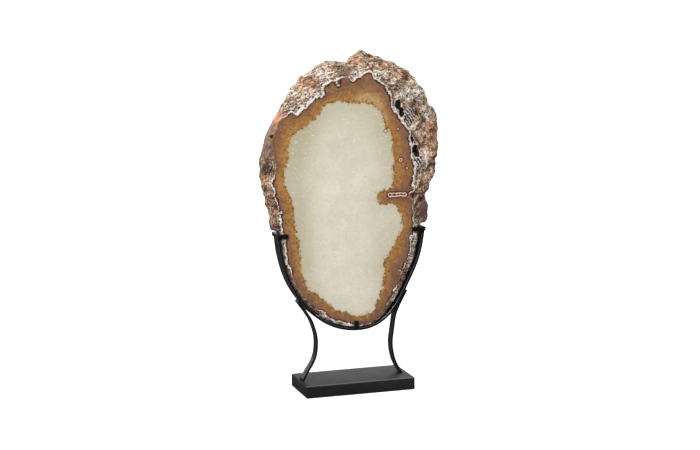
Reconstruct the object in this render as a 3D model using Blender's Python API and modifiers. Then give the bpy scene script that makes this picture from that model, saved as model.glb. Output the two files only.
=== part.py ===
"""Agate slab on a black metal stand.

Metres, +Z up. X runs along the base, the polished front of the slab faces -Y, and the origin is the middle
of the base's underside. Outlines are drawn in the XZ plane as (x, z) points.
"""
import math
from itertools import product

import bmesh
import bpy
import numpy as np

# Driving dimensions of the stand
BASE_SIZE = (0.170, 0.080, 0.019)
BASE_EDGE = 0.0010
GAP = 0.0003
BAND_DEPTH = 0.025
BAND_THICK = 0.004
BAND_EDGE = 0.0006
BAND_STEPS = 44
LEG_WIDTH = 0.0127
LEG_THICK = 0.004
LEG_EDGE = 0.0005
LEG_STEPS = 22
LEG_Y = -0.003
CLIP_FLOOR = 0.2370
CLIP_HEIGHT = 0.006
CLIP_BAR = 0.0035
CLIP_SPINE = 0.0045
CLIP_EDGE = 0.0004
PRONG_SIZE = (0.0065, 0.0035, 0.0145)
PRONG_FOOT_Z = 0.0918
PRONG_EDGE = 0.0004

# The band's outer face, from its left end down under the slab and up to its right end
BAND_LINE = [
    (-0.1192, 0.2362), (-0.1166, 0.2151), (-0.1113, 0.1922), (-0.1012, 0.1653), (-0.0870, 0.1425),
    (-0.0680, 0.1205), (-0.0453, 0.1035), (-0.0204, 0.0937), (0.0048, 0.0907), (0.0265, 0.0938),
    (0.0460, 0.1038), (0.0655, 0.1237), (0.0822, 0.1535), (0.0934, 0.1764), (0.1022, 0.1988),
    (0.1070, 0.2200), (0.1093, 0.2362),
]

# The legs' middle lines, from the end welded beside the band down past the top of the base
LEFT_LEG_LINE = [
    (-0.0890, 0.1412), (-0.0835, 0.1336), (-0.0779, 0.1259), (-0.0724, 0.1178), (-0.0677, 0.1096),
    (-0.0640, 0.1000), (-0.0602, 0.0860), (-0.0595, 0.0700), (-0.0625, 0.0525), (-0.0700, 0.0385),
    (-0.0760, 0.0290), (-0.0830, 0.0150),
]
RIGHT_LEG_LINE = [
    (0.0820, 0.1473), (0.0774, 0.1388), (0.0727, 0.1299), (0.0682, 0.1208), (0.0645, 0.1112),
    (0.0625, 0.1010), (0.0608, 0.0880), (0.0586, 0.0690), (0.0606, 0.0500), (0.0650, 0.0360),
    (0.0700, 0.0265), (0.0768, 0.0150),
]

# The clips: outer face of the spine, and how far the fingers reach over the slab's faces
LEFT_CLIP_X = (-0.1207, -0.1045)
RIGHT_CLIP_X = (0.1097, 0.0890)

# Driving dimensions of the slab
SLAB_THICK = 0.0244
SLAB_CENTRE = (-0.005, 0.300)
AROUND = 240
WIDEST_Y = 0.0025
RIM_DROP = 0.0036
BACK_INSET = 0.0045
ABOVE_CLIP = 0.0036

# Edge of the polished front face, all the way round
FACE_OUTLINE = [
    (0.093, 0.242), (0.092, 0.257), (0.091, 0.272), (0.087, 0.290), (0.090, 0.297), (0.093, 0.319),
    (0.092, 0.337), (0.088, 0.358), (0.084, 0.377), (0.085, 0.389), (0.071, 0.406), (0.064, 0.415),
    (0.057, 0.425), (0.055, 0.439), (0.047, 0.449), (0.042, 0.460), (0.032, 0.462), (0.024, 0.480),
    (0.008, 0.472), (-0.005, 0.461), (-0.013, 0.472), (-0.025, 0.469), (-0.035, 0.465), (-0.052, 0.455),
    (-0.050, 0.448), (-0.056, 0.444), (-0.071, 0.433), (-0.089, 0.419), (-0.096, 0.420), (-0.110, 0.412),
    (-0.121, 0.396), (-0.127, 0.382), (-0.126, 0.364), (-0.122, 0.344), (-0.126, 0.313), (-0.122, 0.300),
    (-0.116, 0.275), (-0.112, 0.252), (-0.111, 0.232), (-0.107, 0.216), (-0.099, 0.184), (-0.087, 0.156),
    (-0.070, 0.137), (-0.056, 0.124), (-0.039, 0.112), (-0.018, 0.104), (0.002, 0.099), (0.020, 0.100),
    (0.037, 0.110), (0.054, 0.133), (0.066, 0.157), (0.079, 0.187), (0.086, 0.205), (0.090, 0.225),
]

# The widest outline of the stone, out at the rough rind
RIND_OUTLINE = [
    (0.0995, 0.233), (0.100, 0.240), (0.105, 0.2455), (0.112, 0.250), (0.117, 0.258), (0.119, 0.274),
    (0.1145, 0.288), (0.122, 0.302), (0.128, 0.317), (0.132, 0.332), (0.1335, 0.348), (0.136, 0.369),
    (0.1335, 0.388), (0.133, 0.404), (0.127, 0.416), (0.118, 0.429), (0.111, 0.445), (0.100, 0.461),
    (0.085, 0.476), (0.070, 0.483), (0.058, 0.491), (0.044, 0.495), (0.032, 0.499), (0.021, 0.505),
    (0.012, 0.507), (0.002, 0.499), (-0.005, 0.493), (-0.012, 0.489), (-0.025, 0.489), (-0.039, 0.491),
    (-0.053, 0.486), (-0.072, 0.472), (-0.083, 0.465), (-0.096, 0.451), (-0.105, 0.436), (-0.110, 0.422),
    (-0.121, 0.408), (-0.128, 0.394), (-0.134, 0.380), (-0.139, 0.363), (-0.142, 0.343), (-0.141, 0.321),
    (-0.136, 0.299), (-0.132, 0.284), (-0.129, 0.269), (-0.1255, 0.257), (-0.122, 0.250), (-0.1175, 0.2458),
    (-0.1160, 0.236), (-0.130, 0.160), (-0.080, 0.080), (0.010, 0.060), (0.080, 0.100), (0.108, 0.170),
    (0.1035, 0.210), (0.1005, 0.224),
]

# Lumps (+) and hollows (-) of the front rind: x, z, radius, height
RIND_FORMS = [
    (0.012, 0.489, 0.014, 0.0030), (-0.011, 0.478, 0.007, -0.0040), (-0.045, 0.474, 0.015, 0.0024),
    (-0.078, 0.453, 0.012, 0.0022), (-0.052, 0.457, 0.004, -0.0040), (0.046, 0.479, 0.010, 0.0022),
    (0.072, 0.458, 0.014, 0.0026), (0.098, 0.432, 0.013, 0.0026), (0.067, 0.435, 0.005, -0.0050),
    (0.072, 0.421, 0.005, -0.0055), (0.077, 0.409, 0.004, -0.0045), (0.092, 0.364, 0.005, -0.0040),
    (0.109, 0.391, 0.011, 0.0022), (0.1095, 0.362, 0.007, 0.0036), (0.123, 0.373, 0.008, 0.0028),
    (0.103, 0.340, 0.008, -0.0018), (0.117, 0.325, 0.009, 0.0022), (0.102, 0.290, 0.006, -0.0040),
    (0.108, 0.274, 0.009, 0.0020), (-0.119, 0.402, 0.010, 0.0014), (-0.133, 0.352, 0.010, 0.0014),
    (-0.130, 0.310, 0.009, 0.0016),
]


def remove_all_objects():
    """An empty scene to build in."""
    for item in list(bpy.data.objects):
        bpy.data.objects.remove(item, do_unlink=True)


def new_material(name, color, roughness, metallic=0.0):
    """One Principled BSDF material."""
    material = bpy.data.materials.new(name)
    material.use_nodes = True
    shader = material.node_tree.nodes["Principled BSDF"]
    shader.inputs["Base Color"].default_value = (*color, 1.0)
    shader.inputs["Roughness"].default_value = roughness
    shader.inputs["Metallic"].default_value = metallic
    return material


def new_object(name, data, material):
    """An object with its material, in the part's collection."""
    data.materials.append(material)
    item = bpy.data.objects.new(name, data)
    bpy.data.collections["agate_slab_on_stand"].objects.link(item)
    return item


def add_bevel(item, width):
    """Break the edges sharper than 40 degrees."""
    bevel = item.modifiers.new("broken edges", "BEVEL")
    bevel.width = width
    bevel.segments = 1
    bevel.limit_method = "ANGLE"
    bevel.angle_limit = math.radians(40)


def block(name, size, centre, edge, material):
    """A rectangular block with broken edges."""
    shape = bmesh.new()
    bmesh.ops.create_cube(shape, size=1.0)
    bmesh.ops.scale(shape, vec=size, verts=shape.verts)
    mesh = bpy.data.meshes.new(name)
    shape.to_mesh(mesh)
    shape.free()
    item = new_object(name, mesh, material)
    item.location = centre
    add_bevel(item, edge)
    return item


def smooth_line(points, steps):
    """A natural cubic spline through the points by chord length, resampled evenly along its length."""
    knots_xz = np.array(points)
    chord = np.linalg.norm(np.diff(knots_xz, axis=0), axis=1)
    knots = np.concatenate([[0.0], np.cumsum(chord)])
    system = np.eye(len(points))
    bend = np.zeros_like(knots_xz)
    for i in range(1, len(points) - 1):
        system[i, i - 1:i + 2] = chord[i - 1], 2 * (chord[i - 1] + chord[i]), chord[i]
        slope_after = (knots_xz[i + 1] - knots_xz[i]) / chord[i]
        slope_before = (knots_xz[i] - knots_xz[i - 1]) / chord[i - 1]
        bend[i] = 6 * (slope_after - slope_before)
    bend = np.linalg.solve(system, bend)
    fine = np.linspace(0.0, knots[-1], 40 * steps)
    span = np.clip(np.searchsorted(knots, fine, side="right") - 1, 0, len(chord) - 1)
    width = chord[span, None]
    after = (fine[:, None] - knots[span, None]) / width
    before = 1 - after
    curve = before * knots_xz[span] + after * knots_xz[span + 1]
    curve += ((before**3 - before) * bend[span] + (after**3 - after) * bend[span + 1]) * width**2 / 6
    length = np.concatenate([[0.0], np.cumsum(np.linalg.norm(np.diff(curve, axis=0), axis=1))])
    even = np.linspace(0.0, length[-1], steps + 1)
    return np.column_stack([np.interp(even, length, curve[:, axis]) for axis in (0, 1)])


def side_normals(line):
    """Unit normals on the left-hand side of a line of (x, z) points."""
    along = np.gradient(line, axis=0)
    along /= np.linalg.norm(along, axis=1, keepdims=True)
    return np.column_stack([-along[:, 1], along[:, 0]])


def flat_bar(name, line, width, y, thick, side, edge, material):
    """A bent flat bar: a ribbon along the line, its width along Y, thickened to one side or both."""
    curve = bpy.data.curves.new(name, "CURVE")
    curve.dimensions = "2D"
    curve.fill_mode = "NONE"
    curve.extrude = width / 2
    spline = curve.splines.new("POLY")
    spline.points.add(len(line) - 1)
    for point, (x, z) in zip(spline.points, line):
        point.co = (x, z, 0.0, 1.0)
    item = new_object(name, curve, material)
    item.location.y = y
    item.rotation_euler.x = math.radians(90)
    solidify = item.modifiers.new("bar thickness", "SOLIDIFY")
    solidify.thickness = thick
    solidify.offset = side
    solidify.use_even_offset = True
    add_bevel(item, edge)
    return item


def cut_foot_level(item, height):
    """Saw a bent bar off level at a height, closing the cut, and keep what is above."""
    bpy.context.view_layer.update()
    solid = item.evaluated_get(bpy.context.evaluated_depsgraph_get())
    mesh = bpy.data.meshes.new_from_object(solid)
    shape = bmesh.new()
    shape.from_mesh(mesh)
    bmesh.ops.remove_doubles(shape, verts=shape.verts, dist=0.00001)
    everything = shape.verts[:] + shape.edges[:] + shape.faces[:]
    cut = bmesh.ops.bisect_plane(shape, geom=everything, dist=0.000001, plane_co=(0, height, 0),
                                 plane_no=(0, 1, 0), clear_inner=True)
    rim = [part for part in cut["geom_cut"] if isinstance(part, bmesh.types.BMEdge)]
    bmesh.ops.holes_fill(shape, edges=rim, sides=0)
    bmesh.ops.recalc_face_normals(shape, faces=shape.faces)
    shape.to_mesh(mesh)
    shape.free()
    name, placing = item.name, item.matrix_world.copy()
    material = item.data.materials[0]
    bpy.data.objects.remove(item, do_unlink=True)
    mesh.name = name
    mesh.materials.clear()
    leg = new_object(name, mesh, material)
    leg.matrix_world = placing
    return leg


def c_clip(name, spine_x, finger_x, material):
    """A C in plan: a spine across the band's end, and a finger along each face of the slab."""
    inward = math.copysign(1.0, finger_x - spine_x)
    spine_in = spine_x + inward * CLIP_SPINE
    reach = BAND_DEPTH / 2 + CLIP_BAR
    inside = BAND_DEPTH / 2
    outline = [
        (spine_x, -reach), (finger_x, -reach), (finger_x, -inside), (spine_in, -inside),
        (spine_in, inside), (finger_x, inside), (finger_x, reach), (spine_x, reach),
    ]
    curve = bpy.data.curves.new(name, "CURVE")
    curve.dimensions = "2D"
    curve.fill_mode = "BOTH"
    curve.extrude = CLIP_HEIGHT / 2
    spline = curve.splines.new("POLY")
    spline.points.add(len(outline) - 1)
    spline.use_cyclic_u = True
    for point, (x, y) in zip(spline.points, outline):
        point.co = (x, y, 0.0, 1.0)
    item = new_object(name, curve, material)
    item.location.z = CLIP_FLOOR + CLIP_HEIGHT / 2
    weld = item.modifiers.new("closed caps", "WELD")
    weld.merge_threshold = 0.00001
    add_bevel(item, CLIP_EDGE)
    return item


def polar_radius(points, angles, round_off):
    """Radius of an outline about the slab's centre, its corners rounded off over a small angle."""
    x, z = (np.array(points) - SLAB_CENTRE).T
    turn = np.arctan2(z, x)
    order = np.argsort(turn)
    fine = np.linspace(-math.pi, math.pi, 2880, endpoint=False)
    radius = np.interp(fine, turn[order], np.hypot(x, z)[order], period=2 * math.pi)
    waves = np.fft.rfftfreq(fine.size, d=1 / fine.size)
    radius = np.fft.irfft(np.fft.rfft(radius) * np.exp(-0.5 * (waves * round_off)**2), fine.size)
    return np.interp(angles, fine, radius, period=2 * math.pi)


def cradle_radius(angles, band_outer):
    """Largest radius that clears the band's inner face, and no limit above the clips."""
    inner = band_outer + side_normals(band_outer) * (BAND_THICK + 2 * GAP)
    clip_top = CLIP_FLOOR + CLIP_HEIGHT + ABOVE_CLIP
    left_x = LEFT_CLIP_X[0] + CLIP_SPINE + GAP
    right_x = RIGHT_CLIP_X[0] - CLIP_SPINE - GAP
    line = np.vstack([(left_x, clip_top), (left_x, CLIP_FLOOR), inner, (right_x, CLIP_FLOOR),
                      (right_x, clip_top)])
    x, z = (line - SLAB_CENTRE).T
    turn = np.arctan2(z, x)
    limit = np.interp(angles, turn, np.hypot(x, z))
    inside = (angles > turn[0]) & (angles < turn[-1])
    return np.where(inside, limit, 1.0)


def rock_noise(places, cell, seed):
    """Smooth noise from -1 to 1: seeded values at the corners of a cubic lattice, blended across a cell."""
    lattice = np.random.default_rng(seed).uniform(-1.0, 1.0, (32, 32, 32))
    scaled = places / cell
    corner = np.floor(scaled).astype(int)
    part = scaled - corner
    part = part * part * (3 - 2 * part)
    total = np.zeros(places.shape[:-1])
    for step in product((0, 1), repeat=3):
        weight = np.prod(np.where(step, part, 1 - part), axis=-1)
        i, j, k = np.moveaxis((corner + step) % 32, -1, 0)
        total += weight * lattice[i, j, k]
    return total


def blend(value, low, high):
    """0 below low, 1 above high, smooth between."""
    t = np.clip((value - low) / (high - low), 0.0, 1.0)
    return t * t * (3 - 2 * t)


def slab_rings(band_outer):
    """Rings of points from the front face's edge out over the rind to the back face's edge."""
    angles = np.linspace(-math.pi, math.pi, AROUND, endpoint=False)
    limit = cradle_radius(angles, band_outer)
    widest = np.minimum(polar_radius(RIND_OUTLINE, angles, 0.008), limit)
    face = np.minimum(polar_radius(FACE_OUTLINE, angles, 0.010), widest - 0.0015)
    back = widest - BACK_INSET
    front_y, back_y = -SLAB_THICK / 2, SLAB_THICK / 2
    drop = RIM_DROP * blend(widest - face, 0.006, 0.020)

    out = np.array([0.0, 0.07, 0.17, 0.28, 0.40, 0.52, 0.64, 0.76, 0.87, 0.95, 1.0])[:, None]
    shoulder = 0.45 * out**2 + 0.55 * (1 - np.sqrt(1 - out**2))
    front_radius = face + (widest - face) * out
    front_depth = front_y + drop * blend(out, 0.0, 0.09) + (WIDEST_Y - front_y - drop) * shoulder
    round_back = np.radians([30.0, 55.0, 75.0, 90.0])[:, None]
    back_radius = back + (widest - back) * np.cos(round_back)
    back_depth = WIDEST_Y + (back_y - WIDEST_Y) * np.sin(round_back) + 0 * widest
    radius = np.vstack([front_radius, back_radius])
    depth = np.vstack([front_depth, back_depth])

    ring = np.stack([SLAB_CENTRE[0] + radius * np.cos(angles), depth,
                     SLAB_CENTRE[1] + radius * np.sin(angles)], axis=-1)
    around = np.roll(ring, -1, axis=1) - np.roll(ring, 1, axis=1)
    across = np.gradient(ring, axis=0)
    normal = np.cross(around, across)
    normal /= np.linalg.norm(normal, axis=2, keepdims=True)

    height = 0.0019 * rock_noise(ring, 0.017, 11) + 0.0012 * rock_noise(ring, 0.0075, 12)
    height += 0.0016 * (0.5 - 2 * np.abs(rock_noise(ring, 0.012, 13)))
    for x, z, size, rise in RIND_FORMS:
        away = np.hypot(ring[..., 0] - x, ring[..., 2] - z) / size
        height += rise * np.exp(-away**2) * (ring[..., 1] < WIDEST_Y + 0.004)
    free = 0.3 + 0.7 * blend(ring[..., 2], 0.238, 0.262)
    height *= free
    height[0] = height[-1] = 0.0
    ring = ring + normal * height[..., None]

    ring[1:-1, :, 1] = np.clip(ring[1:-1, :, 1], front_y + 0.0004, back_y - 0.0004)
    offset = ring[..., [0, 2]] - SLAB_CENTRE
    turn = np.arctan2(offset[..., 1], offset[..., 0])
    reach = np.minimum(np.hypot(offset[..., 0], offset[..., 1]), cradle_radius(turn, band_outer))
    ring[..., 0] = SLAB_CENTRE[0] + reach * np.cos(turn)
    ring[..., 2] = SLAB_CENTRE[1] + reach * np.sin(turn)
    return ring


def agate(name, band_outer, material):
    """The slab: two flat sawn faces, joined by the rings of the rough rind."""
    ring = slab_rings(band_outer)
    rows, count = ring.shape[:2]
    faces = [tuple(range(count)), tuple(reversed(range((rows - 1) * count, rows * count)))]
    for row in range(rows - 1):
        for step in range(count):
            here, there = row * count + step, row * count + (step + 1) % count
            faces.append((here, here + count, there + count, there))
    mesh = bpy.data.meshes.new(name)
    mesh.from_pydata(ring.reshape(-1, 3).tolist(), [], faces)
    mesh.shade_smooth()
    mesh.set_sharp_from_angle(angle=math.radians(50))
    return new_object(name, mesh, material)


def build():
    """All the pieces, from the base up."""
    remove_all_objects()
    collection = bpy.data.collections.new("agate_slab_on_stand")
    bpy.context.scene.collection.children.link(collection)
    steel = new_material("black_paint", (0.012, 0.012, 0.013), 0.42)
    stone = new_material("agate", (0.52, 0.42, 0.27), 0.30)

    base_top = BASE_SIZE[2]
    block("base", BASE_SIZE, (0, 0, base_top / 2), BASE_EDGE, steel)
    for name, points in (("leg_left", LEFT_LEG_LINE), ("leg_right", RIGHT_LEG_LINE)):
        leg = flat_bar(name, smooth_line(points, LEG_STEPS), LEG_WIDTH, LEG_Y, LEG_THICK, 0.0,
                       LEG_EDGE, steel)
        cut_foot_level(leg, base_top + GAP)

    band_outer = smooth_line(BAND_LINE, BAND_STEPS)
    flat_bar("cradle_band", band_outer, BAND_DEPTH, 0.0, BAND_THICK, 1.0, BAND_EDGE, steel)
    c_clip("clip_left", *LEFT_CLIP_X, steel)
    c_clip("clip_right", *RIGHT_CLIP_X, steel)
    prong_y = BAND_DEPTH / 2 + GAP + PRONG_SIZE[1] / 2
    prong_z = PRONG_FOOT_Z + PRONG_SIZE[2] / 2
    block("prong_front", PRONG_SIZE, (0.0003, -prong_y, prong_z), PRONG_EDGE, steel)
    block("prong_back", PRONG_SIZE, (0.0003, prong_y, prong_z), PRONG_EDGE, steel)
    agate("agate_slab", band_outer, stone)


build()
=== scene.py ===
import math
from itertools import product
from types import SimpleNamespace

import bpy
import numpy as np
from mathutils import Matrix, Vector


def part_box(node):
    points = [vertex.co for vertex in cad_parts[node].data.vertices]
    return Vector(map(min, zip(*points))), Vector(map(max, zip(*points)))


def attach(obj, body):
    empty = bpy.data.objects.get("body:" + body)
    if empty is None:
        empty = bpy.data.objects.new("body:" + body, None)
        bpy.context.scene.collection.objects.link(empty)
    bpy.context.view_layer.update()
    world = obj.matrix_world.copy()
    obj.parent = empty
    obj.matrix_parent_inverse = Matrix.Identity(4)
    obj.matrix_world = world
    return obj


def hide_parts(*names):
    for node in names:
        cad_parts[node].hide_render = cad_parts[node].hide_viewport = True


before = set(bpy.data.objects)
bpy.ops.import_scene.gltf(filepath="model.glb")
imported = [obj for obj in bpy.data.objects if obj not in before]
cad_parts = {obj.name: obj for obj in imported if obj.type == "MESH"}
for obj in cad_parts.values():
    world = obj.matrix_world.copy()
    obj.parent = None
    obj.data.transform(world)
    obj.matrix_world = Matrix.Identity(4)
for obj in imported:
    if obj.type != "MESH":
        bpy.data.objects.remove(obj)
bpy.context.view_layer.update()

# Base
# A block of solid flat bar with its edges broken, sprayed satin black like the whole stand. It stands on
# its underside, and the two legs are welded to its top.


def node(tree, kind, inputs=None, **settings):
    """A shader node with its settings, its inputs given as values or as other nodes' outputs."""
    made = tree.nodes.new(kind)
    for name, value in settings.items():
        setattr(made, name, value)
    for name, value in (inputs or {}).items():
        if isinstance(value, bpy.types.NodeSocket):
            tree.links.new(value, made.inputs[name])
        else:
            made.inputs[name].default_value = value
    return made


def tone(red, green, blue):
    """A colour given as in a picture, 0 to 255 each, in the linear values that a shader uses."""
    values = np.array([red, green, blue]) / 255
    return tuple(np.where(values <= 0.04045, values / 12.92, ((values + 0.055) / 1.055)**2.4).tolist())


def noise(tree, where, size, detail=2.0, rough=0.5):
    """Noise around 0.5 whose features are about size metres across."""
    made = node(tree, "ShaderNodeTexNoise", {"Vector": where, "Scale": 1 / size, "Detail": detail,
                                             "Roughness": rough})
    return made.outputs["Fac"]


def ramp(tree, value, *stops):
    """A blend of colours along a value: each stop is (place, colour), a grey given as one number."""
    made = node(tree, "ShaderNodeValToRGB", {"Fac": value})
    elements = made.color_ramp.elements
    while len(elements) < len(stops):
        elements.new(0.5)
    for element, (place, color) in zip(elements, stops):
        element.position = place
        element.color = (*((color,) * 3 if isinstance(color, (int, float)) else color), 1.0)
    return made.outputs["Color"]


def math_of(tree, operation, first, second=0.0, third=0.0):
    """One sum on numbers, such as ADD, MULTIPLY or SUBTRACT."""
    made = tree.nodes.new("ShaderNodeMath")
    made.operation = operation
    for socket, value in zip(made.inputs, (first, second, third)):
        if isinstance(value, bpy.types.NodeSocket):
            tree.links.new(value, socket)
        else:
            socket.default_value = value
    return made.outputs[0]


def mix(tree, share, first, second):
    """Colour first where share is 0, second where it is 1."""
    made = tree.nodes.new("ShaderNodeMix")
    made.data_type = "RGBA"
    for socket, value in ((made.inputs[0], share), (made.inputs[6], first), (made.inputs[7], second)):
        if isinstance(value, bpy.types.NodeSocket):
            tree.links.new(value, socket)
        else:
            socket.default_value = value if isinstance(value, float) else (*value, 1.0)
    return made.outputs[2]


def start_material(name):
    """A new material: its node tree, its Principled shader and its Object coordinates."""
    material = bpy.data.materials.new(name)
    material.use_nodes = True
    tree = material.node_tree
    where = node(tree, "ShaderNodeTexCoord").outputs["Object"]
    return material, tree, tree.nodes["Principled BSDF"], where


def satin_black(name, shade, gloss, dust, smoothest, roughest):
    """Sprayed satin black: fine orange peel, slightly uneven gloss, a little pale dust, rubbed edges."""
    material, tree, shader, where = start_material(name)
    edge = node(tree, "ShaderNodeAttribute", attribute_name="edge").outputs["Fac"]
    rubbed = math_of(tree, "MULTIPLY", edge, 0.70)
    cloud = noise(tree, where, 0.030, 3.0)
    grain = noise(tree, where, 0.0016, 2.0)
    specks = ramp(tree, noise(tree, where, 0.0009, 1.0), (0.66, 0.0), (0.74, dust))
    paint = ramp(tree, cloud, (0.30, 0.7 * shade), (0.70, 1.3 * shade))
    dust_color, metal_color = (0.094, 0.094, 0.100), (0.16, 0.158, 0.154)
    paint = mix(tree, rubbed, mix(tree, specks, paint, dust_color), metal_color)
    tree.links.new(paint, shader.inputs["Base Color"])
    tree.links.new(rubbed, shader.inputs["Metallic"])
    tree.links.new(ramp(tree, cloud, (0.30, smoothest), (0.70, roughest)), shader.inputs["Roughness"])
    shader.inputs["Specular IOR Level"].default_value = gloss
    bump = node(tree, "ShaderNodeBump", {"Height": grain, "Strength": 0.10, "Distance": 0.0004})
    tree.links.new(bump.outputs["Normal"], shader.inputs["Normal"])
    return material


def new_piece(name, grid, ends, material, slot, *replaced):
    """A closed smooth piece: rows of a ring of points, each end closed by a fan to its own end point.

    The ring runs anticlockwise about the direction that the rows run in, which turns the faces out.
    """
    rows, count = grid.shape[:2]
    places = np.vstack([grid.reshape(-1, 3), ends])
    row, step = np.meshgrid(np.arange(rows - 1), np.arange(count), indexing="ij")
    here, after = row * count + step, row * count + (step + 1) % count
    quads = np.stack([here, after, after + count, here + count], axis=-1).reshape(-1, 4)
    turn = np.arange(count)
    ahead, last = (turn + 1) % count, (rows - 1) * count
    first_fan = np.stack([np.full(count, rows * count), ahead, turn], axis=-1)
    last_fan = np.stack([np.full(count, rows * count + 1), last + turn, last + ahead], axis=-1)
    mesh = bpy.data.meshes.new(name)
    mesh.from_pydata(places.tolist(), [], quads.tolist() + first_fan.tolist() + last_fan.tolist())
    mesh.shade_smooth()
    mesh.materials.append(material)
    piece = bpy.data.objects.new(name, mesh)
    bpy.context.scene.collection.objects.link(piece)
    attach(piece, "root")
    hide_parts(*replaced)
    return piece


def bar_grid(path, wide, width, thick, corner):
    """A bar along a path: a rounded rectangle carried along it, its ends rounded by the same radius.

    wide is the direction of the section's width. Its thickness lies across both that and the path.
    """
    length = np.concatenate([[0.0], np.cumsum(np.linalg.norm(np.diff(path, axis=0), axis=1))])
    slope = np.gradient(path, length, axis=0)
    end_turn = np.radians([80.0, 55.0, 28.0, 0.0])
    from_end, end_inset = corner * (1 - np.sin(end_turn)), corner * (1 - np.cos(end_turn))
    row_every = 0.0025
    between = np.linspace(corner, length[-1] - corner, max(3, int(length[-1] / row_every)))[1:-1]
    along = np.concatenate([from_end, between, length[-1] - from_end[::-1]])
    inset = np.concatenate([end_inset, 0 * between, end_inset[::-1]])[:, None]
    middle = np.column_stack([np.interp(along, length, path[:, axis]) for axis in range(3)])
    ahead = np.column_stack([np.interp(along, length, slope[:, axis]) for axis in range(3)])
    thin = np.cross(ahead / np.linalg.norm(ahead, axis=1, keepdims=True), wide)
    quarter = np.radians([0.0, 22.5, 45.0, 67.5, 90.0])
    turn = np.concatenate([quarter + math.radians(90 * part) for part in range(4)])
    side_u, side_v = np.repeat([1, -1, -1, 1], quarter.size), np.repeat([1, 1, -1, -1], quarter.size)
    u = side_u * (width / 2 - corner) + (corner - inset) * np.cos(turn)
    v = side_v * (thick / 2 - corner) + (corner - inset) * np.sin(turn)
    grid = middle[:, None] + u[..., None] * np.array(wide) + v[..., None] * thin[:, None]
    return grid, (path[0], path[-1])


def bar_piece(name, bar, material, slot, replaced):
    """A bar as a piece, with its rounded edges marked, where the paint is rubbed to a sheen."""
    piece = new_piece(name, *bar, material, slot, replaced)
    edge = np.append(np.tile([0.0, 1.0, 1.0, 1.0, 0.0], 4 * len(bar[0])), [0.0, 0.0])
    piece.data.attributes.new("edge", "FLOAT", "POINT").data.foreach_set("value", edge.astype(np.float32))


BASE_CORNER = 0.0015

base_low, base_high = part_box("base")
base_middle = (base_low.z + base_high.z) / 2
base_path = np.array([(base_low.x, 0.0, base_middle), (base_high.x, 0.0, base_middle)])
base_bar = bar_grid(base_path, (0.0, 1.0, 0.0), base_high.y - base_low.y, base_high.z - base_low.z,
                    BASE_CORNER)
base_paint = satin_black("base_satin_black", shade=0.016, gloss=0.06, dust=0.30, smoothest=0.38,
                         roughest=0.50)
bar_piece("base_block", base_bar, base_paint, "base_paint", "base")

# Legs
# Two uprights of flat bar, bent in opposite curves like ")(". Each is welded flat against the outside of
# the band by its straight upper end, and its foot is sawn level and welded to the base.

LEG_WIDTH = 0.0127
LEG_THICK = 0.004
LEG_CORNER = 0.0006
LEG_Y = -0.003
LEFT_LEG_LINE = [
    (-0.089, 0.1412), (-0.0835, 0.1336), (-0.0779, 0.1259), (-0.0724, 0.1178), (-0.0677, 0.1096),
    (-0.064, 0.1), (-0.0602, 0.086), (-0.0595, 0.07), (-0.0625, 0.0525), (-0.07, 0.0385), (-0.076, 0.029),
    (-0.083, 0.015),
]
RIGHT_LEG_LINE = [
    (0.082, 0.1473), (0.0774, 0.1388), (0.0727, 0.1299), (0.0682, 0.1208), (0.0645, 0.1112),
    (0.0625, 0.101), (0.0608, 0.088), (0.0586, 0.069), (0.0606, 0.05), (0.065, 0.036), (0.07, 0.0265),
    (0.0768, 0.015),
]


def smooth_line(points, steps):
    """A natural cubic spline through the points by chord length, resampled evenly along its length."""
    knots_xz = np.array(points)
    chord = np.linalg.norm(np.diff(knots_xz, axis=0), axis=1)
    knots = np.concatenate([[0.0], np.cumsum(chord)])
    system = np.eye(len(points))
    bend = np.zeros_like(knots_xz)
    for i in range(1, len(points) - 1):
        system[i, i - 1:i + 2] = chord[i - 1], 2 * (chord[i - 1] + chord[i]), chord[i]
        slope_after = (knots_xz[i + 1] - knots_xz[i]) / chord[i]
        slope_before = (knots_xz[i] - knots_xz[i - 1]) / chord[i - 1]
        bend[i] = 6 * (slope_after - slope_before)
    bend = np.linalg.solve(system, bend)
    fine = np.linspace(0.0, knots[-1], 40 * steps)
    stretch = np.clip(np.searchsorted(knots, fine, side="right") - 1, 0, len(chord) - 1)
    width = chord[stretch, None]
    after = (fine[:, None] - knots[stretch, None]) / width
    before = 1 - after
    curve = before * knots_xz[stretch] + after * knots_xz[stretch + 1]
    curve += ((before**3 - before) * bend[stretch] + (after**3 - after) * bend[stretch + 1]) * width**2 / 6
    length = np.concatenate([[0.0], np.cumsum(np.linalg.norm(np.diff(curve, axis=0), axis=1))])
    even = np.linspace(0.0, length[-1], steps + 1)
    return np.column_stack([np.interp(even, length, curve[:, axis]) for axis in (0, 1)])


def leg_grid(points):
    """A leg: the flat bar along its middle line, cut off level at the base's top."""
    line = smooth_line(points, steps=120)
    path = np.column_stack([line[:, 0], np.full(len(line), LEG_Y), line[:, 1]])
    grid, ends = bar_grid(path, (0.0, 1.0, 0.0), LEG_WIDTH, LEG_THICK, LEG_CORNER)
    base_top = base_high.z
    lowest_kept = np.flatnonzero(grid[..., 2].min(axis=1) > base_top + 0.001)[-1]
    kept = grid[:lowest_kept + 1]
    fall = kept[-1] - kept[-2]
    foot = kept[-1] + fall * ((base_top - kept[-1, :, 2]) / fall[:, 2])[:, None]
    return np.vstack([kept, foot[None]]), (ends[0], foot.mean(axis=0))


frame_paint = satin_black("frame_satin_black", shade=0.006, gloss=0.24, dust=0.12, smoothest=0.20,
                          roughest=0.30)
bar_piece("leg_left_bar", leg_grid(LEFT_LEG_LINE), frame_paint, "frame_paint", "leg_left")
bar_piece("leg_right_bar", leg_grid(RIGHT_LEG_LINE), frame_paint, "frame_paint", "leg_right")

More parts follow.
